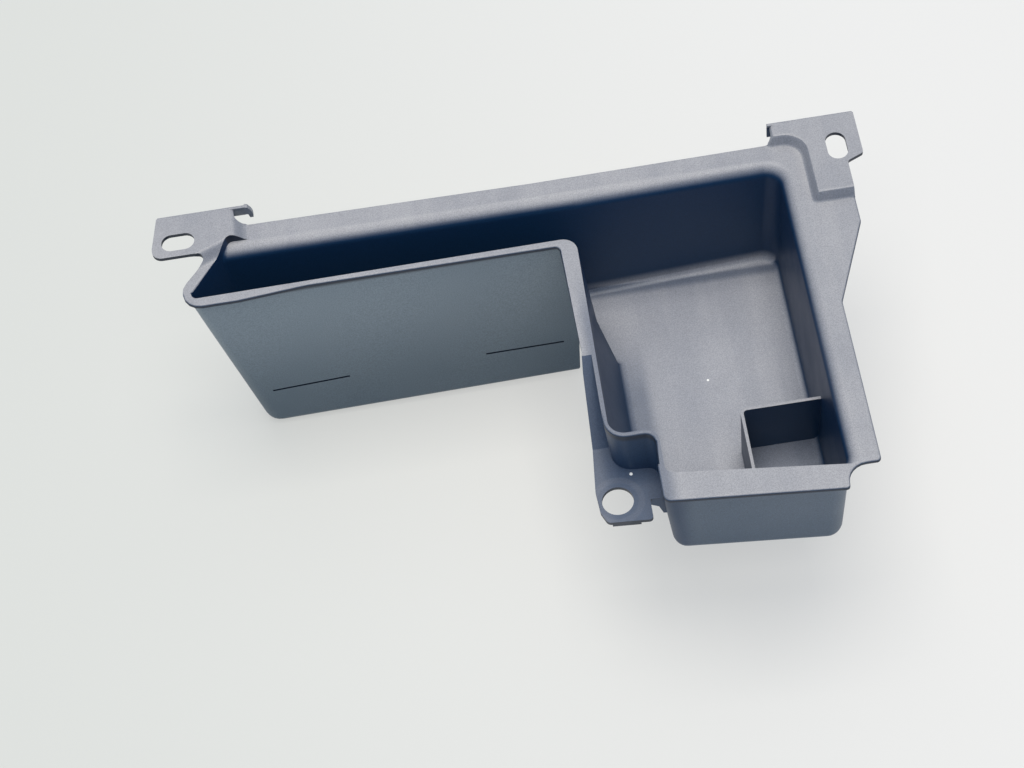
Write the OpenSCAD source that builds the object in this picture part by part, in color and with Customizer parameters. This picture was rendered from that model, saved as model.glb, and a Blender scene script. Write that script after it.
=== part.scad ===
// Trunk storage box: one moulded tray, with a deep narrow trough along the back and a wider box at the right.
// Design frame: X runs along the back edge, Y points to the back, and Z is up from the top face of the rim.
// The finished tray is moved at the end, so that the origin lies under the middle of its lowest face.

/* [Walls] */
// Thickness of the walls and floors
wall_t = 2.4; // [1.8:0.1:3]
// Thickness of the flange, the tabs and the bracket
flange_t = 2.5; // [1.8:0.1:3.5]
// Radius of the soft rim along the back and the right side
rim_r = 8; // [5:0.5:10]
// Radius inside, at the foot of the walls
foot_r = 4; // [2:0.5:6]
// Radius outside, along the bottom edges
base_r = 7; // [4:0.5:8]

/* [Trough] */
// Distance from the back edge to the inner face of the back wall
back_lip_w = 19; // [15:0.5:24]
// How far the back edge bows in at its middle
back_bow = 1.5; // [0:0.1:3]
// Width of the mouth
trough_w = 28.2; // [26:0.2:42]
// Outside depth below the rim, at the left end
trough_depth = 141.5; // [118:0.5:160]
// How much higher the floor is at the right end
floor_rise = 3; // [0:0.2:6]
// Left corner of the mouth
trough_x = 18.8; // [14:0.2:24]
// Angle between the slanted end wall and the Y axis
end_deg = 36.9; // [30:0.1:44]
// How far the end wall runs in, from the mouth to the floor
end_run = 17.2; // [12:0.2:30]
// How far the front wall runs in, from the mouth to the floor
front_run = 0.5; // [0.2:0.1:4]
// How much further to the front the front wall is at its left end
front_skew = 1.8; // [0:0.1:3]
// How far the back wall runs in, from the rim to the floor
back_run = 8; // [4:0.5:10]

/* [Box] */
// Distance from the right wall at the rim to the right end of the tray
end_room = 50; // [44:0.5:58]
// Width between the side walls at the rim
box_w = 126; // [110:1:145]
// Length of the right wall at the rim
box_len = 209.4; // [190:0.5:230]
// Outside depth below the rim
box_depth = 84.4; // [70:0.5:100]
// Angle of the front wall
skew_deg = 6.9; // [3:0.1:9]
// How far the left wall runs in at the floor, beside the trough
left_run = 6.3; // [3:0.1:9]
// How far the left wall runs in at the floor, at the step
step_in_run = 9.2; // [7:0.1:12]
// How far the left wall runs in at the floor, in front of the step
shoulder_run = 16; // [13:0.5:20]
// Where the step in the left wall starts, from the back edge
shoulder_y = 80; // [70:1:95]
// How far the right wall runs in at the floor
right_run = 2.6; // [1:0.1:5]
// How far the back wall runs in at the floor, beside the trough
kink_run = 9.7; // [6:0.1:12]
// How far the back wall runs in at the floor, at the right
back_right_run = 3.8; // [2:0.1:6]

/* [Corner notch] */
// Width of the notch in the box's front left corner
notch_w = 26.8; // [22:0.2:34]
// Distance from the back edge to the curved wall
notch_y = 186.8; // [178:0.2:194]
// Radius of the hollow bend of the curved wall
hollow_r = 9.5; // [7:0.5:12]
// Radius of the round bend of the curved wall
round_r = 8; // [6:0.5:10]

/* [Tabs] */
// Overall length, from the left tab to the right tab
overall_l = 426; // [416:1:440]
// How far the tabs stand out behind the back edge
tab_back = 11.3; // [8:0.1:16]
// Height of the tabs above the rim
tab_rise = 6; // [4:0.25:7]
// Front edge of the left tab, from the back edge
left_tab_y = 20.3; // [19:0.1:25]
// Inner edge of the left tab
left_tab_x = 50; // [47:0.5:53]
// Inner edge of the right tab, to the right of the box's right wall
right_tab_gap = 0.5; // [0.5:0.5:3]
// Length along X of the fall from the left tab to the back lip
fold_run = 8; // [6:0.5:12]
// Length of the fall from the left tab to the front rim
end_fall = 6.5; // [5:0.5:10]
// Angle between the top of that fall and the X axis
fall_turn = 24; // [10:1:35]
// Width of the rim between the box's right wall and the step of the right tab
ring_w = 15.5; // [13:0.5:19]
// Distance from the back edge to the front step of the right tab
tab_step_y = 48.8; // [44:0.2:56]
// How far the step leans
step_lean = 3; // [1:0.25:4]
// Height of the lip folded down behind the left tab
left_lip_h = 8.6; // [6:0.2:12]
// Height of the lip folded down behind the right tab
right_lip_h = 11.9; // [8:0.1:16]
// Thickness of those lips
lip_t = 1.3; // [1:0.1:2]
// Radius of the bend between a tab and its lip
lip_r = 1.6; // [1:0.1:2.2]

/* [Slots] */
// Length of both slots
slot_l = 20; // [16:0.5:24]
// Width of both slots
slot_w = 12; // [8:0.5:14]
// Middle of the left slot, from the left end
left_slot_x = 15.8; // [13:0.2:20]
// Middle of the left slot, from the back edge
left_slot_y = 9.8; // [8:0.2:12]
// Middle of the right slot, from the right end
right_slot_x = 14.4; // [11:0.2:18]
// Middle of the right slot, from the back edge
right_slot_y = 13.8; // [10:0.2:20]

/* [Bracket] */
// Depth of the bracket below the rim
bracket_drop = 34; // [28:0.5:40]
// Where the flange starts to fall to the bracket, from the back edge
fall_y = 131.5; // [125:0.5:138]
// Where the fall reaches the bracket, from the back edge
fall_end_y = 173.5; // [168:0.5:178]
// Distance from the back edge to the bracket's front left corner
bracket_y = 222.6; // [220.6:0.1:228]
// How far the bracket stands out to the left of the box's left wall
bracket_out = 12; // [10:0.5:14]
// Width of the bracket beside its hole
bracket_w = 29.5; // [28:0.5:32]
// Diameter of the hole in the bracket
hole_d = 18; // [12:0.5:20]
// Middle of the hole, from the back edge
hole_y = 209.4; // [206:0.2:212]
// Height of the lip under the bracket's front edge
bracket_lip = 4.4; // [3:0.2:8]
// Thickness of the triangular rib beside the bracket
rib_t = 2; // [1.4:0.1:3]
// Height of that rib at the box
rib_h = 18; // [12:0.5:24]

/* [Flange] */
// Width of the rim along the front of the trough
front_rim_w = 4.4; // [3.5:0.1:6]
// Width of the rim along the slanted end wall
end_rim_w = 7.4; // [6:0.1:9]
// Width of the flange to the left of the box
left_rim_w = 8.5; // [7:0.1:10]
// Width of the flange to the right of the box
right_rim_w = 17.8; // [15:0.1:21]
// Width of the flange in front of the box
front_flange_w = 16.5; // [13:0.1:20]
// Where the right flange starts to narrow, from the back edge
narrow_y = 66.5; // [58:0.5:72]
// Where the right flange has its least width, from the back edge
slim_y = 121; // [110:1:130]

/* [Pocket] */
// Thickness of the thin walls of the pocket
pocket_t = 1.8; // [1.4:0.1:2.4]
// Height of those walls above the floor
pocket_h = 42; // [30:1:50]
// Width of the pocket at the box's right wall
pocket_w = 48.5; // [36:0.5:56]
// Distance from the back edge to the pocket's back wall
pocket_y = 157; // [146:0.5:168]
// Outer radius of the pocket's corner
pocket_r = 4; // [3:0.5:6]

/* [Grooves] */
// Length of the two grooves in the trough's front wall
groove_l = 49; // [36:0.5:56]
// Height of a groove
groove_h = 1.5; // [1:0.1:2.5]
// Depth of a groove
groove_d = 0.9; // [0.4:0.1:1.2]
// Depth of the grooves below the rim
groove_z = 101; // [90:0.5:112]
// Slope of the left groove, down to the left
groove_deg = 3; // [0:0.5:5]
// Left end of the left groove
groove_x1 = 51; // [46:0.5:58]
// Left end of the right groove
groove_x2 = 186; // [176:0.5:188]

/* [Hidden] */
$fn = 48;

// Heights of the two floors inside, below the rim
box_in = box_depth - wall_t;
trough_in = trough_depth - wall_t;
// Places shared by several features
mouth_y = back_lip_w + trough_w;
right_x = overall_l - end_room;
box_x = right_x - box_w;
notch_x = box_x + notch_w;
front_right_y = back_lip_w + box_len;
end_slope = tan(end_deg);
skew_slope = tan(skew_deg);
// Depth of the front wall's inner face behind the skew line, at any place along X
function front_y(x) = front_right_y - (right_x - x) * skew_slope;
// Place along X of the slanted end wall's inner face at the rim
function end_x(y) = trough_x + (mouth_y - y) * end_slope;
// Left end of the trough's front wall, and that wall's place along Y at the rim
end_y = mouth_y + front_skew;
function mouth_at(x) = mouth_y + front_skew * (box_x - riser_back - x) / (box_x - riser_back - end_x(end_y));
// How far a wall that runs in by a given amount at the trough's floor has come at the box's floor
level_share = box_in / trough_in;
// Where the trough ends at the right, in front of the box's left wall
riser_back = 13;
riser_foot = 7;
riser_lean = 2.4;
kink_x = box_x + 4.3;
// Back wall's inner face at the middle of its length
middle_y = back_lip_w + back_bow * 0.6;
// Width that the curved wall's two bends share at the floor
foot_w = notch_w + 4.7 - shoulder_run;

// Places of the cavity's corners at the rim, counter-clockwise: [x, y, radius]
rim_corners = [
    [box_x - 4, -middle_y, 0],
    [end_x(back_lip_w), -back_lip_w, 4],
    [end_x(end_y), -end_y, 3.5],
    [box_x - riser_back, -mouth_y, 0],
    [box_x, -mouth_y, 9],
    [box_x, -shoulder_y, 0],
    [box_x, -shoulder_y - 7, 0],
    [box_x, -notch_y, hollow_r],
    [notch_x, -notch_y, round_r],
    [notch_x, -front_y(notch_x), 5],
    [right_x, -front_y(right_x), 6],
    [right_x, -back_lip_w, 9],
    [kink_x, -middle_y, 0]
];
// The trough's four corners at its own floor
trough_corners = [
    [box_x - riser_foot - riser_lean, -back_lip_w - kink_run - 1.5, 0],
    [end_x(back_lip_w) + end_run * 0.72, -back_lip_w - back_run, 6],
    [end_x(end_y) + end_run, -end_y + front_run, 8],
    [box_x - riser_foot - riser_lean, -mouth_y + front_run, 0]
];
// The same corners as at the rim, at the box's floor
floor_corners = [
    [box_x - 4, -back_lip_w - kink_run + 0.2, 0],
    lerp(rim_corners[1], trough_corners[1], level_share),
    lerp(rim_corners[2], trough_corners[2], level_share),
    [box_x - riser_foot, -mouth_y + front_run * level_share, 0],
    [box_x + left_run, -mouth_y + front_run * level_share, 9],
    [box_x + step_in_run, -shoulder_y, 0],
    [box_x + shoulder_run, -shoulder_y - 7, 0],
    [box_x + shoulder_run, -notch_y + 5.8, min(hollow_r * 0.6, foot_w * 0.4)],
    [notch_x + 4.7, -notch_y + 5.8, min(round_r, foot_w * 0.52)],
    [notch_x + 4.7, -front_y(notch_x + 4.7) + 0.6, 6],
    [right_x - right_run, -front_y(right_x) + 3.4, 7],
    [right_x - right_run, -back_lip_w - back_right_run, 10],
    [kink_x, -back_lip_w - kink_run, 0]
];
// The four corners beside the bracket, at the bracket's level: the walls are steeper above it
steep_from = 6;
steep_to = 9;
bracket_corners = [
    [box_x + 2.3, -shoulder_y - 7, 0],
    [box_x + 2.3, -notch_y - 0.3, hollow_r],
    [notch_x + 0.3, -notch_y - 2.4, round_r],
    [notch_x + 0.3, -front_y(notch_x) + 0.1, 5.2]
];
// Number of steps of each corner's arc
arc_steps = [0, 4, 8, 0, 8, 0, 0, 9, 9, 6, 7, 10, 0];
// The trough's corners come first
trough_last = 3;
low_steps = [for (i = [0:trough_last]) arc_steps[i]];
// Left end of the trough's flat underside, its lowest place
floor_left = min([for (p = outline(low_corners(-trough_in, wall_t, base_r), low_steps)) p.x]);
// Direction in which each corner moves as the soft rim bends outward
rim_moves = [
    [0, 1], [end_slope, 1], [0, 0], [0, 0], [0, 0], [0, 0], [0, 0],
    [0, 0], [0, 0], [0, 0], [1, -skew_slope], [1, 1], [0, 1]
];
rim_grows = [0, 0, 0, 0, 0, 0, 0, 0, 0, 0, 0, 1, 0];
// Angles at which the soft rim and the foot are drawn
rim_angles = [90, 72, 54, 36, 18, 0];
foot_angles = [0, 22.5, 45, 67.5, 90];

function lerp(a, b, t) = a + (b - a) * t;
function unit(v) = v / norm(v);
function xy(c) = [c.x, c.y];
function around(i, n) = (i + n) % n;

// Arc in corner c between its neighbours p and q, drawn in n steps
function arc(p, c, q, n) =
    n == 0 || c.z == 0 ? [xy(c)] :
    let (u = unit(xy(p) - xy(c)), v = unit(xy(q) - xy(c)))
    let (half = acos(u * v) / 2, turn = 180 - 2 * half, reach = c.z / tan(half))
    let (mid = xy(c) + unit(u + v) * c.z / sin(half))
    let (a = xy(c) + u * reach - mid, b = xy(c) + v * reach - mid)
    [for (i = [0:n]) mid + (a * sin((n - i) / n * turn) + b * sin(i / n * turn)) / sin(turn)];

// Outline through rounded corners, with one number of steps for each
function outline(c, steps) =
    let (n = len(c))
    [for (i = [0:n - 1]) each arc(c[around(i - 1, n)], c[i], c[around(i + 1, n)], steps[i])];

// Outline of a flat plate, with the same number of steps for every round corner
function plate(c, n = 6) = outline(c, [for (i = c) n]);

// Corners moved outward by d, for a counter-clockwise outline
function grown(c, d) =
    let (n = len(c))
    [for (i = [0:n - 1])
        let (a = unit(xy(c[i]) - xy(c[around(i - 1, n)])), b = unit(xy(c[around(i + 1, n)]) - xy(c[i])))
        let (na = [a.y, -a.x], nb = [b.y, -b.x], left = a.x * b.y > a.y * b.x)
        let (p = xy(c[i]) + (na + nb) * d / (1 + na * nb))
        [p.x, p.y, c[i].z == 0 ? 0 : max(c[i].z + (left ? d : -d), 0.3)]
    ];

// Corner i of the cavity at height z, before any bend at the rim
function corner_at(i, z) =
    i < steep_from || i > steep_to ? lerp(rim_corners[i], floor_corners[i], -z / box_in) :
    let (mid = bracket_corners[i - steep_from])
    -z <= bracket_drop ? lerp(rim_corners[i], mid, -z / bracket_drop) :
    lerp(mid, floor_corners[i], (-z - bracket_drop) / (box_in - bracket_drop));

function level(z) = [for (i = [0:len(rim_corners) - 1]) corner_at(i, z)];

// Corners on the surface that lies off outside the cavity, bent out by flare and drawn in by inset
function tray_corners(z, off, flare, inset) =
    let (c = grown(level(z), off), small = grown(c, -inset))
    [for (i = [0:len(c) - 1])
        let (q = i <= trough_last + 1 ? c[i] : small[i])
        let (along = i == 0 || i == trough_last ? off : 0)
        q + [along + rim_moves[i].x * flare, rim_moves[i].y * flare, rim_grows[i] * flare]
    ];

function low_corners(z, off, inset) =
    let (t = (-z - box_in) / (trough_in - box_in))
    grown([for (i = [0:trough_last]) lerp(floor_corners[i], trough_corners[i], t)], off - inset);

function at_height(points, z) = [for (p = points) [p.x, p.y, z]];
// Trough's outlines, with the floor's rise to the right taken up by share t
function tilted(points, z, t) =
    let (slope = t * floor_rise / (box_x - floor_left))
    [for (p = points) [p.x, p.y, z + slope * (p.x - floor_left)]];
function middle(points) = [for (p = points) 1] * points / len(points);

// Closed solid inside the surface that lies off outside the cavity, up to the height top
module tray_solid(off, top) {
    bend = rim_r - off;
    foot = off > 0 ? base_r : foot_r;
    box_z = -box_in - off;
    trough_z = -trough_in - off;
    heights = concat(
        [[top, bend, 0]],
        [for (a = rim_angles) [bend * sin(a) - rim_r, bend * (1 - cos(a)), 0]],
        [[-bracket_drop, 0, 0]],
        [for (a = foot_angles) [box_z + foot * (1 - sin(a)), 0, foot * (1 - cos(a))]]
    );
    rings = [for (h = heights) at_height(outline(tray_corners(h[0], off, h[1], h[2]), arc_steps), h[0])];
    lows = [for (a = foot_angles)
        let (z = trough_z + foot * (1 - sin(a)))
        tilted(outline(low_corners(z, off, foot * (1 - cos(a))), low_steps), z, (box_z - z) / (box_z - trough_z))
    ];
    n = len(rings[0]);
    m = len(lows[0]);
    last = (len(rings) - 1) * n;
    eye = [lerp(notch_x, right_x, 0.35), -back_lip_w - trough_w * 0.65];
    centres = [[eye.x, eye.y, top], [eye.x, eye.y, box_z], middle(lows[len(lows) - 1])];
    points = concat([for (r = rings) each r], [for (r = lows) each r], centres);
    peak = len(points) - 3;
    // Index of point j in the trough's ring q, where ring 0 is the start of the box's last ring
    function low(q, j) = q == 0 ? last + j % m : last + n + (q - 1) * m + j % m;
    faces = concat(
        [for (k = [0:len(rings) - 2], i = [0:n - 1])
            let (a = k * n, j = (i + 1) % n)
            each [[a + i, a + j, a + n + j], [a + i, a + n + j, a + n + i]]
        ],
        [for (i = [0:n - 1]) [peak, (i + 1) % n, i]],
        [for (i = [m - 1:n - 2]) [peak + 1, last + i, last + i + 1]],
        [[peak + 1, last + n - 1, last + m - 1], [last + n - 1, last, last + m - 1]],
        [for (q = [0:len(lows) - 1], j = [0:m - 1])
            each [[low(q, j), low(q, j + 1), low(q + 1, j + 1)], [low(q, j), low(q + 1, j + 1), low(q + 1, j)]]
        ],
        [for (j = [0:m - 1]) [peak + 2, low(len(lows), j), low(len(lows), j + 1)]]
    );
    polyhedron(points, faces, convexity = 10);
}

// Stack of outlines joined from the lowest up, each as [height, corners]
module stack(layers, steps, eye) {
    rings = [for (l = layers) at_height(outline(l[1], steps), l[0])];
    n = len(rings[0]);
    last = (len(rings) - 1) * n;
    ends = [[eye.x, eye.y, rings[0][0].z], [eye.x, eye.y, rings[len(rings) - 1][0].z]];
    points = concat([for (r = rings) each r], ends);
    faces = concat(
        [for (k = [0:len(rings) - 2], i = [0:n - 1])
            let (a = k * n, j = (i + 1) % n)
            each [[a + i, a + n + j, a + j], [a + i, a + n + i, a + n + j]]
        ],
        [for (i = [0:n - 1]) [last + n, i, (i + 1) % n]],
        [for (i = [0:n - 1]) [last + n + 1, last + (i + 1) % n, last + i]]
    );
    polyhedron(points, faces, convexity = 4);
}

// Corners of the right tab's raised ground, along the foot of the step where it meets the rim
step_corners = [
    [overall_l + 40, 60, 0],
    [right_x - 3, 60, 0],
    [right_x - 3, -2.5, 1.5],
    [right_x + ring_w, -2.5, 11],
    [right_x + ring_w, -tab_step_y, 2.5],
    [overall_l + 40, -tab_step_y, 0]
];
step_steps = [0, 0, 2, 8, 3, 0];
// Raised ground of the right tab, with a soft foot and a soft top; side moves the step away from the rim
module right_ground(drop, side) {
    top = tab_rise - drop;
    heights = [
        [-9, -0.8],
        [-drop, -0.8],
        [-drop + 0.4, -0.3],
        [-drop + 1.2, 0],
        [top - 2, 0],
        [top - 0.6, 0.5],
        [top, 1.8]
    ];
    stack(
        [for (h = heights) [h[0], grown(step_corners, -side - step_lean * h[0] / tab_rise - h[1])]],
        step_steps,
        [overall_l + 10, 20]
    );
}

// Points of a soft fall from the height top to the height low, over the distance run, starting at start
function soft_fall(start, run, top, low) =
    [for (k = [0:7]) [start + run * k / 7, low + (top - low) * (1 + cos(180 * k / 7)) / 2]];

// Raised ground of the left tab, falling to the back lip on its right and to the front rim in front
module left_ground(drop) {
    top = tab_rise - drop;
    soft = 1.3;
    fold_in = drop * tan(atan(tab_rise / fold_run) / 2);
    fall_in = drop * tan(atan(tab_rise / end_fall) / 2);
    fold_x = left_tab_x - 1.5 - fold_in - (soft - 1) / 2 * fold_run;
    fall_x = -fall_in - (soft - 1) / 2 * end_fall;
    intersection() {
        translate([0, 60, 0])
            rotate([90, 0, 0])
                linear_extrude(160)
                    polygon(concat(
                        [[-40, -9], [-40, top]],
                        soft_fall(fold_x, fold_run * soft, top, -drop),
                        [[fold_x + fold_run * soft, -9]]
                    ));
        translate([left_tab_x - 2.5, -back_lip_w + rim_r, 0])
            rotate([0, 0, fall_turn])
                translate([-120, 0, 0])
                    rotate([90, 0, 90])
                        linear_extrude(160)
                            mirror([1, 0])
                                polygon(concat(
                                    [[-90, -9], [-90, top]],
                                    soft_fall(fall_x, end_fall * soft, top, -drop),
                                    [[fall_x + end_fall * soft, -9]]
                                ));
    }
}

// Everything below the top face of the flange, lowered by drop
module ground(drop, side) {
    translate([-50, -front_right_y - 80, -9 - drop])
        cube([overall_l + 100, front_right_y + 160, 9]);
    left_ground(drop);
    right_ground(drop, side);
}

// Outline of the flange and both tabs; inside the cavity it runs at will, because the cavity is cut later
module flange_plan() {
    out_y = mouth_y + front_rim_w;
    corner_y = out_y + 3.4;
    end_corner = end_x(corner_y) - end_rim_w / cos(end_deg);
    far_x = right_x + right_rim_w;
    cut_y = front_y(right_x) + 0.6;
    tab_edge = tab_back - lip_r;
    flange_front = front_y(right_x) + front_flange_w - 1.5;
    left_front = flange_front - (right_x - notch_x + 1) * tan(skew_deg - 1.6);
    tab_x2 = right_x - right_tab_gap;
    polygon(plate([
        [3.4, tab_edge, 0],
        [0, -left_tab_y + 8, 0],
        [0, -left_tab_y, 6],
        [end_corner + (corner_y - left_tab_y) * end_slope + 2.4, -left_tab_y, 2],
        [end_corner, -corner_y, 11],
        [end_corner + 44, -corner_y, 30],
        [end_corner + 86, -out_y, 30],
        [box_x - left_rim_w - 2, -out_y, 3],
        [box_x - left_rim_w + 1, -fall_y, 0],
        [box_x + 20, -fall_y, 0],
        [notch_x + 14, -front_y(notch_x) + 6, 0],
        [notch_x - wall_t - 1.2, -front_y(notch_x) + 6, 0.6],
        [notch_x - wall_t - 1.2, -left_front, 4.5],
        [right_x - 2.2, -flange_front, 2],
        [right_x - 0.7, -cut_y, 11],
        [far_x, -cut_y, 2.5],
        [far_x, -slim_y, 8],
        [overall_l - 10.4, -narrow_y, 4],
        [overall_l - 10.2, -26.3, 2.5],
        [overall_l, -21.8, 2.5],
        [overall_l, tab_edge, 0],
        [tab_x2, tab_edge, 0],
        [tab_x2, -0.3 * back_bow, 5.5],
        [lerp(left_tab_x, tab_x2, 0.75), -0.8 * back_bow, 0],
        [lerp(left_tab_x, tab_x2, 0.55), -back_bow, 0],
        [lerp(left_tab_x, tab_x2, 0.35), -0.7 * back_bow, 0],
        [lerp(left_tab_x, tab_x2, 0.15), 0, 0],
        [left_tab_x, 0.6, 5],
        [left_tab_x, tab_edge, 0]
    ]));
}

// Flange and tabs: one sheet that follows the raised grounds
module flange() {
    intersection() {
        translate([0, 0, -8])
            linear_extrude(20)
                flange_plan();
        difference() {
            ground(0, 0);
            ground(flange_t, flange_t - 0.3);
        }
    }
}

// Walls carried up from the rim into the left tab; they end inside its sheet
rise_sunk = 0.4;
module end_wall_rise() {
    intersection() {
        translate([-20, -mouth_y - 4, -flange_t / 2])
            cube([left_tab_x + fold_run + 18, mouth_y + 4 - back_lip_w + rim_r + wall_t + 1, 20]);
        translate([0, 0, -flange_t])
            linear_extrude(20)
                polygon(outline(grown(tray_corners(0, 0, rim_r, 0), wall_t), arc_steps));
        left_ground(rise_sunk);
    }
}

// Lip of height h folded down along a tab's back edge, from x1 to x2, with its bend
module lip(x1, x2, h) {
    inner = tab_back - lip_r - 1;
    translate([x1, 0, 0])
        rotate([90, 0, 90])
            linear_extrude(x2 - x1)
                polygon(concat(
                    [[inner, tab_rise - flange_t / 2], [inner, tab_rise]],
                    [for (a = [0:18:90]) [tab_back - lip_r + lip_r * sin(a), tab_rise - lip_r + lip_r * cos(a)]],
                    [[tab_back, tab_rise - h], [tab_back - lip_t, tab_rise - h]],
                    [[tab_back - lip_t, tab_rise - flange_t - 0.5]]
                ));
}

// Both lips, each running a little past its tab; the left one ends in a small hook turned to the front
module tab_lips() {
    hook_x = left_tab_x + 7.6;
    hook_h = left_lip_h + 1.4;
    hook_t = 2.8;
    lip(4, hook_x, left_lip_h);
    translate([0, tab_back, tab_rise])
        rotate([90, 0, 0])
            linear_extrude(hook_t)
                polygon([
                    [hook_x - 0.8, 0],
                    [hook_x + 1, -0.4],
                    [hook_x + 2.9, -hook_h * 0.4],
                    [hook_x + 3.5, -hook_h * 0.7],
                    [hook_x + 3.3, -hook_h],
                    [hook_x + 1.3, -hook_h],
                    [hook_x + 0.6, -hook_h * 0.72],
                    [hook_x - 0.8, -hook_h * 0.5]
                ]);
    lip(right_x - right_tab_gap - 1.5, overall_l - 0.6, right_lip_h);
}

// Sheet that falls from the flange's end to the bracket, with the bracket and its front lip
module bracket() {
    fall_deg = atan(bracket_drop / (fall_end_y - fall_y));
    bend = flange_t * tan(fall_deg / 2);
    left = box_x - bracket_out;
    right = left + bracket_w;
    front_slope = 0.075;
    intersection() {
        translate([0, 0, -bracket_drop - 10])
            linear_extrude(bracket_drop + 20)
                polygon(plate([
                    [box_x - left_rim_w + 0.8, -fall_y + 3, 0],
                    [box_x - left_rim_w - 0.3, -fall_y - 8, 0],
                    [box_x - left_rim_w - 1.4, -fall_end_y, 0],
                    [left - 0.2, -hole_y + 8, 0],
                    [left + 0.8, -hole_y - 6, 0],
                    [left + 4, -bracket_y, 3.5],
                    [right - 7, -bracket_y - front_slope * (right - left - 11), 0],
                    [right, -bracket_y - front_slope * (right - left - 4), 2.2],
                    [right, -front_y(notch_x) + 5, 0.8],
                    [notch_x + 2, -front_y(notch_x) + 5, 0],
                    [notch_x + 2, -notch_y + 4, 0],
                    [box_x + 4, -notch_y + 12, 0],
                    [box_x + 4, -fall_y + 3, 0]
                ]));
        translate([left - 10, 0, 0])
            rotate([90, 0, 90])
                linear_extrude(notch_w + bracket_out + 40)
                    polygon([
                        [-fall_y + 8, 0],
                        [-fall_y, 0],
                        [-fall_end_y, -bracket_drop],
                        [-bracket_y - 5, -bracket_drop],
                        [-bracket_y - 5, -bracket_drop - flange_t],
                        [-fall_end_y + bend, -bracket_drop - flange_t],
                        [-fall_y + bend, -flange_t],
                        [-fall_y + 8, -flange_t]
                    ]);
    }
    translate([left + 6.4, -bracket_y - front_slope * 2.4, -bracket_drop - bracket_lip])
        rotate([0, 0, -atan(front_slope)])
            cube([bracket_w - 13.4, 2, bracket_lip - 0.01]);
}

// Triangular rib between the bracket and the box's side
module bracket_rib() {
    left = box_x - bracket_out + bracket_w;
    inner = notch_x + 2;
    translate([0, -front_y(notch_x) + 5 + rib_t, -bracket_drop])
        rotate([90, 0, 0])
            linear_extrude(rib_t)
                polygon([
                    [left - 1, 0],
                    [inner, 0],
                    [inner, -rib_h],
                    [notch_x - wall_t, -rib_h + 1],
                    [lerp(left, notch_x, 0.5), -rib_h * 0.52],
                    [left - 1, -rib_h * 0.3]
                ]);
}

// Two thin walls that stand on the box's floor and close off its front right corner
module pocket() {
    left = right_x - pocket_w;
    intersection() {
        translate([0, 0, -box_in - wall_t / 2])
            linear_extrude(pocket_h + wall_t / 2)
                difference() {
                    polygon(plate([
                        [left, -pocket_y, pocket_r],
                        [left, -front_right_y - 4, 0],
                        [right_x + 8, -front_right_y - 4, 0],
                        [right_x + 8, -pocket_y, 0]
                    ]));
                    polygon(plate([
                        [left + pocket_t, -pocket_y - pocket_t, pocket_r - pocket_t],
                        [left + pocket_t, -front_right_y - 8, 0],
                        [right_x + 12, -front_right_y - 8, 0],
                        [right_x + 12, -pocket_y - pocket_t, 0]
                    ]));
                }
        tray_solid(wall_t / 2, 0);
    }
}

// Slot through a tab, lying along X, or along Y if turned
module slot(x, y, turned) {
    reach = (slot_l - slot_w) / 2;
    translate([x, y, tab_rise - flange_t - 1])
        rotate([0, 0, turned ? 90 : 0])
            union() {
                for (side = [-1, 1])
                    translate([side * reach, 0, 0])
                        cylinder(d = slot_w, h = flange_t + 2);
                translate([-reach, -slot_w / 2, 0])
                    cube([2 * reach, slot_w, flange_t + 2]);
            }
}

// Groove in the outer face of the trough's front wall
module groove(x, slope) {
    face_y = -mouth_at(x + groove_l) - wall_t + front_run * groove_z / trough_in;
    translate([x + groove_l, face_y, -groove_z - groove_h / 2])
        rotate([0, -slope, atan((mouth_at(x) - mouth_at(x + groove_l)) / groove_l)])
            translate([-groove_l, -2, 0])
                cube([groove_l, 2 + groove_d, groove_h]);
}

module storage_box() {
    front_edge = front_y(right_x) + front_flange_w - 1.5;
    color("#2c2e33")
        translate([-overall_l / 2, (front_edge - tab_back) / 2, trough_depth])
            union() {
                difference() {
                    union() {
                        tray_solid(wall_t, 0);
                        flange();
                        end_wall_rise();
                        tab_lips();
                        bracket();
                        bracket_rib();
                    }
                    tray_solid(0, tab_rise + 6);
                    slot(left_slot_x, -left_slot_y, false);
                    slot(overall_l - right_slot_x, -right_slot_y, true);
                    translate([box_x - bracket_out + 11.4, -hole_y, -bracket_drop - flange_t - 4])
                        cylinder(d = hole_d, h = flange_t + 8);
                    groove(groove_x1, groove_deg);
                    groove(groove_x2, 0);
                }
                pocket();
            }
}

storage_box();
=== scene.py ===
import math

import bmesh
import bpy
import numpy as np
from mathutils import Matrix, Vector
from mathutils.bvhtree import BVHTree


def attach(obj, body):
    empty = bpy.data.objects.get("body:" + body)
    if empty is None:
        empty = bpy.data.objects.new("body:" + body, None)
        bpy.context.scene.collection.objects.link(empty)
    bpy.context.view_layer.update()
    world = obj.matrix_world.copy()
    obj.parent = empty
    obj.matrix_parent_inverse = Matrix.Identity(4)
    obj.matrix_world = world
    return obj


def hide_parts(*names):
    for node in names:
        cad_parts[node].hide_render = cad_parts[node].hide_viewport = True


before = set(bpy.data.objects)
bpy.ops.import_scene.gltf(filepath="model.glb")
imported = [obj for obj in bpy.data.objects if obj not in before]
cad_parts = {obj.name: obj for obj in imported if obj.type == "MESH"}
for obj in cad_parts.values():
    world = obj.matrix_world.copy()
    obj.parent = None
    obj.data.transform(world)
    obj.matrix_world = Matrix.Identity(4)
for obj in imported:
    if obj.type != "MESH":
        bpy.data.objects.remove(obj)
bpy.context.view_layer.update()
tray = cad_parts["storage_box"]
print("frame loaded")


# Node helpers

def newMaterial(name):
    # A material without nodes, its nodes and its links
    material = bpy.data.materials.new(name)
    material.use_nodes = True
    nodes = material.node_tree.nodes
    nodes.clear()
    return material, nodes, material.node_tree.links


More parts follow.
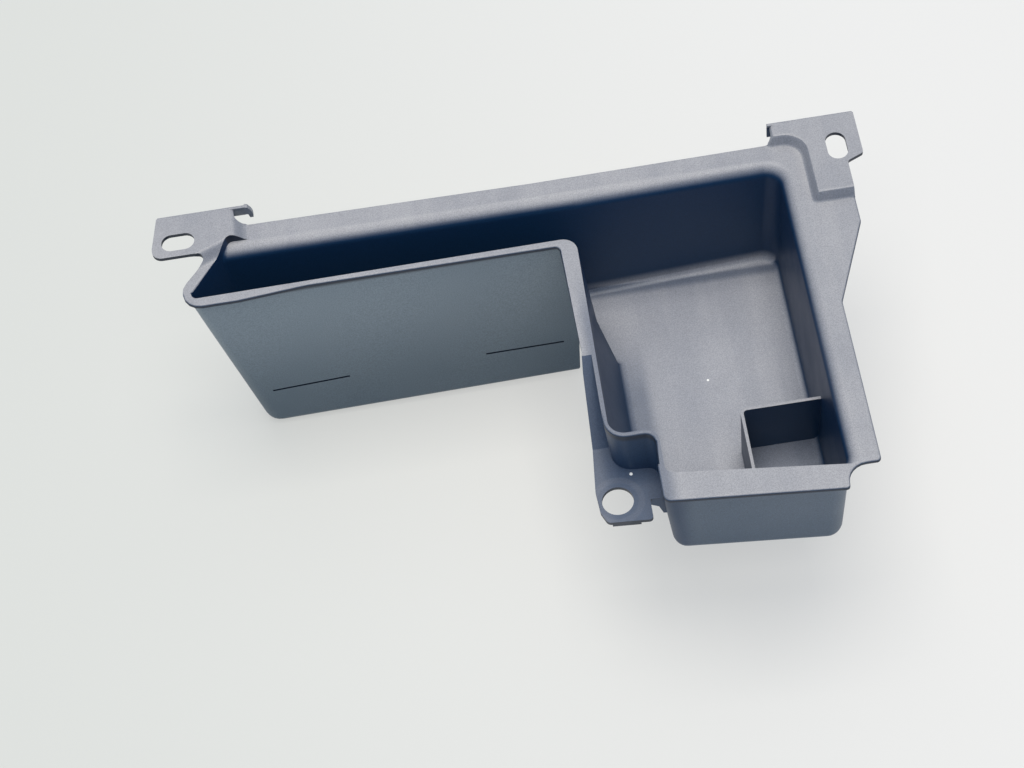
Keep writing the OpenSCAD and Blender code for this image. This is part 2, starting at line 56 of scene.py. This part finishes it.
def place(nodes, kind, **settings):
    # Adds a node, with its properties and its sockets' constant values
    node = nodes.new(kind)
    for key, value in settings.items():
        if hasattr(node, key):
            setattr(node, key, value)
        else:
            node.inputs[key.replace("_", " ")].default_value = value
    return node


# Shader node groups

# Sizes are noise scales per metre
grainLayers = {
    "Grain": {"socket": "Grain size", "size": 1500.0, "detail": 2.0, "rough": 0.6},
    "Clouds": {"socket": "Cloud size", "size": 18.0, "detail": 5.0, "rough": 0.6},
    "Streaks": {"socket": "Streak size", "size": 60.0, "detail": 3.0, "rough": 0.55},
}
streakStretch = (1.0, 0.08, 0.3)  # the streaks run along the axis with the least


def plasticGrainGroup():
    # Fine spark-eroded grain, broad unevenness, and long soft streaks along Y, of moulded plastic
    group = bpy.data.node_groups.new("plasticGrain", "ShaderNodeTree")
    face = group.interface
    for out, layer in grainLayers.items():
        size = face.new_socket(name=layer["socket"], in_out="INPUT", socket_type="NodeSocketFloat")
        size.default_value = layer["size"]
        face.new_socket(name=out, in_out="OUTPUT", socket_type="NodeSocketFloat")
    nodes, links = group.nodes, group.links
    inside = nodes.new("NodeGroupInput")
    outside = nodes.new("NodeGroupOutput")
    coords = nodes.new("ShaderNodeTexCoord")
    stretch = place(nodes, "ShaderNodeMapping", Scale=streakStretch)
    links.new(coords.outputs["Object"], stretch.inputs["Vector"])
    for out, layer in grainLayers.items():
        noise = place(nodes, "ShaderNodeTexNoise", Detail=layer["detail"], Roughness=layer["rough"])
        source = stretch.outputs["Vector"] if out == "Streaks" else coords.outputs["Object"]
        links.new(source, noise.inputs["Vector"])
        links.new(inside.outputs[layer["socket"]], noise.inputs["Scale"])
        links.new(noise.outputs["Fac"], outside.inputs[out])
    return group


def spotGroup():
    # A round mark: 1 within the radius of the centre, and 0 beyond the soft edge
    group = bpy.data.node_groups.new("spot", "ShaderNodeTree")
    face = group.interface
    face.new_socket(name="Centre", in_out="INPUT", socket_type="NodeSocketVector")
    face.new_socket(name="Radius", in_out="INPUT", socket_type="NodeSocketFloat").default_value = 0.001
    face.new_socket(name="Soft edge", in_out="INPUT", socket_type="NodeSocketFloat").default_value = 0.0003
    face.new_socket(name="Mask", in_out="OUTPUT", socket_type="NodeSocketFloat")
    nodes, links = group.nodes, group.links
    inside = nodes.new("NodeGroupInput")
    outside = nodes.new("NodeGroupOutput")
    coords = nodes.new("ShaderNodeTexCoord")
    away = place(nodes, "ShaderNodeVectorMath", operation="DISTANCE")
    edge = place(nodes, "ShaderNodeMath", operation="ADD")
    fade = nodes.new("ShaderNodeMapRange")
    fade.interpolation_type = "SMOOTHSTEP"
    fade.inputs["To Min"].default_value = 1.0
    fade.inputs["To Max"].default_value = 0.0
    links.new(coords.outputs["Object"], away.inputs[0])
    links.new(inside.outputs["Centre"], away.inputs[1])
    links.new(inside.outputs["Radius"], edge.inputs[0])
    links.new(inside.outputs["Soft edge"], edge.inputs[1])
    links.new(away.outputs["Value"], fade.inputs["Value"])
    links.new(inside.outputs["Radius"], fade.inputs["From Min"])
    links.new(edge.outputs["Value"], fade.inputs["From Max"])
    links.new(fade.outputs["Result"], outside.inputs["Mask"])
    return group


plasticGrain = plasticGrainGroup()
spot = spotGroup()
print("node groups made")


# Tray material

trayLook = {
    "inside": (0.009, 0.036, 0.088, 1.0),  # the walls' inner sides, dark: painted shade
    "outside": (0.225, 0.262, 0.285, 1.0),  # their outer sides, near the rim, lighter than the inner sides: painted light
    # painted shade: the outer sides are darker lower down
    "outsideShadedLow": (0.095, 0.130, 0.155, 1.0),
    # the pale tone of what faces up, dust and painted light; it is bluer lower down
    "dustAndLight": (0.335, 0.326, 0.334, 1.0),
    "dustAndLightLow": (0.305, 0.318, 0.362, 1.0),
    "edgeShade": (0.020, 0.028, 0.045, 1.0),  # painted shade on the thin outer edges and in the grooves
    "speck": (0.85, 0.85, 0.83, 1.0),
    "ior": 1.6,
    "specular": 0.32,
    "roughLow": 0.38,
    "roughHigh": 0.47,
    "noiseLow": 0.3,
    "noiseHigh": 0.7,
    "grainDepth": 0.00004,
    "grainBump": 0.6,
    "grainShade": 0.2,
    "dustAndLightFrom": 0.36,  # the least rise of a face that the pale tone, dust and painted light, lies on
    "dustAndLightFull": 0.95,
    "cloudDust": (0.3, 0.7, 0.86, 1.0),  # the noise's two values, and the share of dust at each
    "streakDust": (0.35, 0.65, 0.90, 1.0),
    # painted light on the tabs' folds and slopes
    "foldPaintedLight": 0.8,
    "specks": (  # centre and radius, in metres
        ((0.1036, 0.0094, 0.0595), 0.0006),
        ((0.0463, -0.0771, 0.1075), 0.0008),
    ),
    "ringCentre": (0.0364, -0.09335, 0.1075),
    "ringRadius": 0.0135,
    "ringWidth": 0.0012,
    "ringShare": 0.15,
    "bands": {  # the axis, the two places along it in metres, and the mask's value at each
        # painted highlight along the foot of the back wall
        "footHighlightTop": ("Z", 0.0622, 0.0690, 1.0, 0.0),
        "footHighlightBack": ("Y", 0.0870, 0.0885, 0.0, 1.0),
        "footHighlightLeft": ("X", 0.030, 0.045, 0.0, 1.0),
        "stripRight": ("X", 0.062, 0.072, 0.55, 0.0),
        "stripLeft": ("X", 0.028, 0.036, 0.0, 1.0),
        "stripBack": ("Y", 0.0, 0.055, 1.0, 0.0),
        "floorLevel": ("Z", 0.060, 0.064, 1.0, 0.0),
        # painted shade in front of the foot and in the pocket
        "dipShadeFront": ("Y", 0.0790, 0.0845, 0.0, 0.55),
        "dipShadeBack": ("Y", 0.0862, 0.0885, 1.0, 0.0),
        "pocketShadeLeft": ("X", 0.1152, 0.1162, 0.0, 0.55),
        "pocketShadeBack": ("Y", -0.0420, -0.0410, 1.0, 0.0),
        "height": ("Z", 0.02, 0.125, 0.0, 1.0),
        # painted shade on the outer sides, towards the front and in the nook by the bracket
        "frontShade": ("Y", -0.03, 0.05, 0.5, 1.0),
        "nookShadeBack": ("Y", -0.02, 0.03, 0.85, 0.0),
        "nookShadeRight": ("X", 0.066, 0.080, 1.0, 0.0),
        # a painted shadow on the wall just under the flange
        "underFlange": ("Z", 0.1352, 0.1385, 0.0, 1.0),
        "belowRim": ("Z", 0.1416, 0.1420, 1.0, 0.0),
    },
}


def mixColours(nodes, links, mask, first, second):
    # first and second are colours or sockets
    mix = nodes.new("ShaderNodeMixRGB")
    for name, value in (("Color1", first), ("Color2", second)):
        if isinstance(value, tuple):
            mix.inputs[name].default_value = value
        else:
            links.new(value, mix.inputs[name])
    links.new(mask, mix.inputs["Fac"])
    return mix.outputs["Color"]


def ranged(nodes, links, source, fromLow, fromHigh, toLow, toHigh, smooth=True):
    # The source's range taken to another, and held at its ends
    node = nodes.new("ShaderNodeMapRange")
    node.interpolation_type = "SMOOTHSTEP" if smooth else "LINEAR"
    names = ("From Min", "From Max", "To Min", "To Max")
    for name, value in zip(names, (fromLow, fromHigh, toLow, toHigh)):
        node.inputs[name].default_value = value
    links.new(source, node.inputs["Value"])
    return node.outputs["Result"]


def product(nodes, links, first, second):
    # second is a number or a socket
    node = place(nodes, "ShaderNodeMath", operation="MULTIPLY")
    links.new(first, node.inputs[0])
    if isinstance(second, float):
        node.inputs[1].default_value = second
    else:
        links.new(second, node.inputs[1])
    return node.outputs["Value"]


def larger(nodes, links, first, second):
    # The larger of the two at each point
    node = place(nodes, "ShaderNodeMath", operation="MAXIMUM")
    links.new(first, node.inputs[0])
    links.new(second, node.inputs[1])
    return node.outputs["Value"]


def remainder(nodes, links, source):
    # 1 less the source
    node = place(nodes, "ShaderNodeMath", operation="SUBTRACT")
    node.inputs[0].default_value = 1.0
    links.new(source, node.inputs[1])
    return node.outputs["Value"]


def faceValue(nodes, name):
    # A mask that markFaces writes on the faces
    node = nodes.new("ShaderNodeAttribute")
    node.attribute_name = name
    return node.outputs["Fac"]


def dustAndLightMask(nodes, links, look, coords, grain, bands):
    # A pale tone, dust and painted light together, lies on what faces up; painted light on the tabs' folds, a
    # painted highlight at the foot of the back wall; all in clouds and streaks
    facing = nodes.new("ShaderNodeSeparateXYZ")
    links.new(coords.outputs["Normal"], facing.inputs["Vector"])
    upward = ranged(nodes, links, facing.outputs["Z"], look["dustAndLightFrom"], look["dustAndLightFull"], 0.0, 1.0)
    upward = larger(nodes, links, upward, bands("footHighlightTop", "footHighlightBack", "footHighlightLeft"))
    upward = larger(nodes, links, upward, product(nodes, links, faceValue(nodes, "folded"), look["foldPaintedLight"]))
    clouds = ranged(nodes, links, grain.outputs["Clouds"], *look["cloudDust"])
    streaks = ranged(nodes, links, grain.outputs["Streaks"], *look["streakDust"])
    dust = product(nodes, links, product(nodes, links, upward, clouds), streaks)
    dust = product(nodes, links, dust, faceValue(nodes, "dustAndLight"))

    # Less of the pale tone lies on the rim's narrow strip beside the sheet; painted shade takes it off in
    # front of the foot and in the pocket
    lessPaleTone = bands("stripRight", "stripLeft", "stripBack")
    lessPaleTone = larger(nodes, links, lessPaleTone, bands("dipShadeFront", "dipShadeBack", "floorLevel"))
    lessPaleTone = larger(nodes, links, lessPaleTone, bands("pocketShadeLeft", "pocketShadeBack", "floorLevel"))
    return product(nodes, links, dust, remainder(nodes, links, lessPaleTone))


def wallColour(nodes, links, look, height, bands):
    # Painted shade: the inner sides are dark, and the outer sides are lighter near the rim, darker at the
    # front, and dark in the nook by the bracket
    outer = mixColours(nodes, links, height, look["outsideShadedLow"], look["outside"])
    share = product(nodes, links, faceValue(nodes, "outside"), bands("frontShade"))
    share = product(nodes, links, share, remainder(nodes, links, bands("nookShadeBack", "nookShadeRight")))
    return mixColours(nodes, links, share, look["inside"], outer)


def ringMask(nodes, links, look, coords, grain):
    # A worn ring round the bracket's hole: it rises and falls again with the distance from the hole's centre
    away = place(nodes, "ShaderNodeVectorMath", operation="DISTANCE")
    away.inputs[1].default_value = look["ringCentre"]
    links.new(coords.outputs["Object"], away.inputs[0])
    wide = look["ringWidth"]
    near, far = look["ringRadius"] - wide, look["ringRadius"] + wide
    rise = ranged(nodes, links, away.outputs["Value"], near - wide, near, 0.0, 1.0)
    fall = ranged(nodes, links, away.outputs["Value"], far, far + wide, 1.0, 0.0)
    ring = product(nodes, links, product(nodes, links, rise, fall), grain.outputs["Clouds"])
    return product(nodes, links, ring, look["ringShare"])


def trayMaterial(look):
    material, nodes, links = newMaterial("blackMouldedPlastic")
    out = nodes.new("ShaderNodeOutputMaterial")
    shader = place(nodes, "ShaderNodeBsdfPrincipled", IOR=look["ior"])
    shader.inputs["Specular IOR Level"].default_value = look["specular"]
    links.new(shader.outputs["BSDF"], out.inputs["Surface"])
    grain = nodes.new("ShaderNodeGroup")
    grain.node_tree = plasticGrain
    coords = nodes.new("ShaderNodeTexCoord")
    position = nodes.new("ShaderNodeSeparateXYZ")
    links.new(coords.outputs["Object"], position.inputs["Vector"])

    def bands(*names):
        # The product of the named bands
        total = None
        for name in names:
            axis, *values = look["bands"][name]
            mask = ranged(nodes, links, position.outputs[axis], *values)
            total = mask if total is None else product(nodes, links, total, mask)
        return total

    height = bands("height")
    colour = wallColour(nodes, links, look, height, bands)
    # The pale tone, dust and painted light, is bluer lower down
    dustAndLightTone = mixColours(nodes, links, height, look["dustAndLightLow"], look["dustAndLight"])
    colour = mixColours(nodes, links, dustAndLightMask(nodes, links, look, coords, grain, bands), colour, dustAndLightTone)

    # Painted shade: the upright outer edges and the grooves are darker, and a painted shadow darkens the
    # first bit of wall under the flange
    under = product(nodes, links, bands("underFlange", "belowRim"), faceValue(nodes, "outside"))
    colour = mixColours(nodes, links, under, colour, look["edgeShade"])
    colour = mixColours(nodes, links, faceValue(nodes, "edgeShade"), colour, look["edgeShade"])

    colour = mixColours(nodes, links, ringMask(nodes, links, look, coords, grain), colour, look["dustAndLight"])
    for centre, radius in look["specks"]:
        mark = nodes.new("ShaderNodeGroup")
        mark.node_tree = spot
        mark.inputs["Centre"].default_value = centre
        mark.inputs["Radius"].default_value = radius
        colour = mixColours(nodes, links, mark.outputs["Mask"], colour, look["speck"])

    # The grain shades the colour a little, because it's coarse enough to be seen
    shade = nodes.new("ShaderNodeHueSaturation")
    links.new(colour, shade.inputs["Color"])
    least, most = look["noiseLow"], look["noiseHigh"]
    low, high = 1.0 - look["grainShade"], 1.0 + look["grainShade"]
    value = ranged(nodes, links, grain.outputs["Grain"], least, most, low, high, smooth=False)
    links.new(value, shade.inputs["Value"])
    links.new(shade.outputs["Color"], shader.inputs["Base Color"])
    rough = ranged(nodes, links, grain.outputs["Clouds"], least, most, look["roughLow"], look["roughHigh"])
    links.new(rough, shader.inputs["Roughness"])
    bump = place(nodes, "ShaderNodeBump", Strength=look["grainBump"], Distance=look["grainDepth"])
    links.new(grain.outputs["Grain"], bump.inputs["Height"])
    links.new(bump.outputs["Normal"], shader.inputs["Normal"])
    return material


blackPlastic = trayMaterial(trayLook)


# Tray

rimTop = 0.1415  # the height of the flange's flat top

# Angles in degrees, sizes in metres; a rise is the upward part of a face's normal
edgePlan = {
    "mergeWithin": 0.00008,
    "flatWithin": 0.6,  # facets that bend less than this are joined
    "roundFrom": 27.0,  # edges that bend more than this are rounded
    "round": 0.00045,
    "steps": 2,
    "outerRound": 0.0012,  # along the top of the flange's outer side
    "outerSteps": 4,
    "profile": 0.5,
    "flatRise": 0.85,
    "sideRise": 0.4,
    "rimWithin": 0.0006,
    "normalWeight": 60,
    "boxFrom": 0.037,  # the box is to the right of this, and the trough to the left
    "boxMiddle": (0.10, -0.004),
    "troughMiddle": 0.083,
}

# Where the kinds of face lie; depths are measured down from the rim, in metres
markPlan = {
    "levelLeast": 0.1,  # the level part of a normal below which no ray is sent
    "rayGap": 0.0006,
    "rayReach": 1.0,
    "uprightRise": 0.5,
    "edgeRise": 0.3,
    "foldRise": -0.1,
    "frontward": -0.5,  # the Y part of a normal that looks to the front
    "sheetDepth": 0.0026,
    "tabAbove": 0.0030,
    "lipFrom": 0.122,
    "bracketDepths": (0.0335, 0.0390),
    "bracketBack": -0.055,
    "bracketLeft": 0.0545,
    "notchRight": 0.064,
    "notchBack": -0.012,
    "notchDepths": (0.0015, 0.0420),
    # painted shade: the share of the pale tone left on the bracket and the sheet above it
    "notchShadedShare": 0.25,
    "grooveDepths": (0.092, 0.110),
    "grooveRight": 0.03,
    "grooveBack": 0.10,
    "grooveArea": 0.0001,  # in square metres
}


def facesOutward(mesh, plan):
    # A face looks outward if a level ray from it meets no other part of the tray
    corners = [vertex.co for vertex in mesh.vertices]
    tree = BVHTree.FromPolygons(corners, [tuple(face.vertices) for face in mesh.polygons])
    found = np.zeros(len(mesh.polygons), bool)
    for face in mesh.polygons:
        level = Vector((face.normal.x, face.normal.y, 0.0))
        if level.length > plan["levelLeast"]:
            level.normalize()
            start = face.center + level * plan["rayGap"]
            found[face.index] = tree.ray_cast(start, level, plan["rayReach"])[0] is None
    return found


def markFaces(mesh, plan):
    # The face masks: painted shade on the outer edges of flange, tabs and bracket and in the trough's grooves
    # (1 there);
    # outside is 1 on the walls' outer sides; the pale tone's share is low on the bracket and the sheet above
    # it, as painted shade; and folded is 1 on the raised tabs and their slopes
    count = len(mesh.polygons)
    centre, normal = np.empty(count * 3), np.empty(count * 3)
    mesh.polygons.foreach_get("center", centre)
    mesh.polygons.foreach_get("normal", normal)
    centre, normal = centre.reshape(-1, 3), normal.reshape(-1, 3)
    x, y, z = centre.T
    down = rimTop - z
    rise = np.abs(normal[:, 2])

    def between(name):
        low, high = plan[name]
        return (down > low) & (down < high)

    outward = facesOutward(mesh, plan)
    upright = rise < plan["uprightRise"]
    edge = (rise < plan["edgeRise"]) & (y < plan["lipFrom"])
    sheet = (down < plan["sheetDepth"]) & outward & edge
    tab = (down < -plan["tabAbove"]) & edge
    outside = outward & upright & (down > 0.0) & ~sheet
    bracket = between("bracketDepths") & (y < plan["bracketBack"]) & (x < plan["notchRight"]) & upright
    bracket &= (x < plan["bracketLeft"]) | (normal[:, 1] < plan["frontward"])
    area = np.empty(count)
    mesh.polygons.foreach_get("area", area)
    groove = between("grooveDepths") & (x < plan["grooveRight"]) & (y < plan["grooveBack"])
    groove &= area < plan["grooveArea"]
    # Painted shade on these edges and grooves
    edgeShade = sheet | tab | bracket | groove
    notch = (x < plan["notchRight"]) & (y < plan["notchBack"]) & between("notchDepths")
    # Painted shade: less of the pale tone on the bracket and the sheet above it
    dustAndLight = np.where(notch, plan["notchShadedShare"], 1.0)
    folded = (down < 0.0) & (normal[:, 2] > plan["foldRise"])
    rows = {"edgeShade": edgeShade, "outside": outside, "dustAndLight": dustAndLight, "folded": folded}
    for name, values in rows.items():
        layer = mesh.attributes.new(name, "FLOAT", "FACE")
        layer.data.foreach_set("value", values.astype(np.float32))


def isOuterTop(edge, plan):
    # An edge between the flat top of the flange and its upright outer side
    if not edge.is_manifold:
        return False
    flat, side = sorted(edge.link_faces, key=lambda face: -face.normal.z)
    x, y, z = (edge.verts[0].co + edge.verts[1].co) / 2.0
    if flat.normal.z < plan["flatRise"] or abs(side.normal.z) > plan["sideRise"]:
        return False
    if abs(z - rimTop) > plan["rimWithin"]:
        return False
    inBox = x > plan["boxFrom"]
    middleX = plan["boxMiddle"][0] if inBox else x
    middleY = plan["boxMiddle"][1] if inBox else plan["troughMiddle"]
    return side.normal.x * (x - middleX) + side.normal.y * (y - middleY) > 0.0


def makeTray(source, plan, marks):
    # The CAD mesh, merged, with its flat facets joined and its sharp edges rounded
    mesh = source.data.copy()
    shell = bmesh.new()
    shell.from_mesh(mesh)
    bmesh.ops.remove_doubles(shell, verts=shell.verts, dist=plan["mergeWithin"])
    bmesh.ops.dissolve_degenerate(shell, edges=shell.edges, dist=plan["mergeWithin"])
    bmesh.ops.dissolve_limit(
        shell, angle_limit=math.radians(plan["flatWithin"]), verts=shell.verts, edges=shell.edges
    )
    outer = [edge for edge in shell.edges if isOuterTop(edge, plan)]
    bmesh.ops.bevel(
        shell, geom=outer, offset=plan["outerRound"], segments=plan["outerSteps"], profile=plan["profile"],
        affect="EDGES", clamp_overlap=False, offset_type="OFFSET"
    )
    shell.normal_update()
    least = math.radians(plan["roundFrom"])
    sharp = [edge for edge in shell.edges if edge.is_manifold and edge.calc_face_angle(0.0) > least]
    bmesh.ops.bevel(
        shell, geom=sharp, offset=plan["round"], segments=plan["steps"], profile=plan["profile"],
        affect="EDGES", clamp_overlap=True, offset_type="OFFSET"
    )
    shell.to_mesh(mesh)
    shell.free()
    mesh.materials.clear()
    mesh.materials.append(blackPlastic)
    mesh.polygons.foreach_set("use_smooth", np.ones(len(mesh.polygons), bool))
    markFaces(mesh, marks)
    piece = bpy.data.objects.new("trayShell", mesh)
    bpy.context.collection.objects.link(piece)
    weighted = piece.modifiers.new("weighted", "WEIGHTED_NORMAL")
    weighted.keep_sharp = True
    weighted.weight = plan["normalWeight"]
    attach(piece, "root")
    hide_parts("storage_box")


makeTray(tray, edgePlan, markPlan)
print("tray dressed")


# Floor

floorLook = {
    "left": (0.700, 0.708, 0.672, 1.0),
    "right": (0.822, 0.812, 0.790, 1.0),
    "fadeFrom": -0.45,
    "fadeTo": 0.35,
    "liftSeen": 0.66,
    "liftMirrored": 0.6,
    "halfSide": 6.0,
}


def makeFloor(look):
    half = look["halfSide"]
    mesh = bpy.data.meshes.new("floor")
    corners = [(-half, -half, 0), (half, -half, 0), (half, half, 0), (-half, half, 0)]
    mesh.from_pydata(corners, [], [(0, 1, 2, 3)])
    floor = bpy.data.objects.new("floor", mesh)
    bpy.context.collection.objects.link(floor)
    material, nodes, links = newMaterial("palePaper")
    out = nodes.new("ShaderNodeOutputMaterial")
    coords = nodes.new("ShaderNodeTexCoord")
    split = nodes.new("ShaderNodeSeparateXYZ")
    links.new(coords.outputs["Object"], split.inputs["Vector"])
    # The paper is darker towards the left: painted shade
    fade = ranged(nodes, links, split.outputs["X"], look["fadeFrom"], look["fadeTo"], 0.0, 1.0)
    tone = mixColours(nodes, links, fade, look["left"], look["right"])
    paper = nodes.new("ShaderNodeBsdfDiffuse")
    glow = place(nodes, "ShaderNodeEmission", Strength=1.0)
    links.new(tone, paper.inputs["Color"])
    links.new(tone, glow.inputs["Color"])
    # The paper looks brighter than it lights, so its shadows stay pale
    rays = nodes.new("ShaderNodeLightPath")
    mirrored = product(nodes, links, rays.outputs["Is Glossy Ray"], look["liftMirrored"])
    lift = place(nodes, "ShaderNodeMath", operation="MULTIPLY_ADD")
    lift.inputs[1].default_value = look["liftSeen"]
    links.new(rays.outputs["Is Camera Ray"], lift.inputs[0])
    links.new(mirrored, lift.inputs[2])
    final = nodes.new("ShaderNodeMixShader")
    links.new(lift.outputs["Value"], final.inputs["Fac"])
    links.new(paper.outputs["BSDF"], final.inputs[1])
    links.new(glow.outputs["Emission"], final.inputs[2])
    links.new(final.outputs["Shader"], out.inputs["Surface"])
    mesh.materials.append(material)


makeFloor(floorLook)
print("floor laid")


# Light

# Angles in degrees, sizes in metres, power in watts
lampPlan = {
    "back": {"elevation": 58.0, "azimuth": 8.0, "distance": 5.0, "size": (4.8, 3.2), "power": 60.0},
    "front": {"elevation": 64.0, "azimuth": 180.0, "distance": 4.0, "size": (3.0, 1.6), "power": 50.0},
    "top": {"elevation": 84.0, "azimuth": 0.0, "distance": 4.0, "size": (2.4, 2.0), "power": 118.0},
}
lampColour = (1.0, 0.95, 0.87)
roomColour = (0.16, 0.50, 1.0, 1.0)
roomStrength = 0.34


def addLamp(name, plan):
    # The lamp stands at its azimuth and elevation, seen from the tray's middle, and faces it
    data = bpy.data.lights.new(name, "AREA")
    data.shape = "RECTANGLE"
    data.size, data.size_y = plan["size"]
    data.energy = plan["power"]
    data.color = lampColour
    lamp = bpy.data.objects.new(name, data)
    bpy.context.collection.objects.link(lamp)
    up, side = math.radians(plan["elevation"]), math.radians(plan["azimuth"])
    away = np.array([math.sin(side) * math.cos(up), math.cos(side) * math.cos(up), math.sin(up)])
    lamp.location = away * plan["distance"]
    lamp.rotation_euler = (math.radians(plan["elevation"] - 90), 0.0, -side)


for lampName, plan in lampPlan.items():
    addLamp(lampName, plan)

world = bpy.data.worlds.new("room")
bpy.context.scene.world = world
world.use_nodes = True
backdrop = world.node_tree.nodes["Background"]
backdrop.inputs["Color"].default_value = roomColour
backdrop.inputs["Strength"].default_value = roomStrength
print("light set")


# Camera, at the photograph's angle

cameraPlan = {
    "place": (0.00250, -0.77166, 1.24591),
    "turn": (33.6114, 5.4117, -6.9257),
    "lens": 82.83,
    "sensor": 36.0,
}
cameraData = bpy.data.cameras.new("camera")
cameraData.lens = cameraPlan["lens"]
cameraData.sensor_width = cameraPlan["sensor"]
camera = bpy.data.objects.new("camera", cameraData)
bpy.context.collection.objects.link(camera)
camera.location = cameraPlan["place"]
camera.rotation_euler = [math.radians(angle) for angle in cameraPlan["turn"]]
bpy.context.scene.camera = camera
bpy.context.scene.view_settings.view_transform = "Standard"
print("camera set")
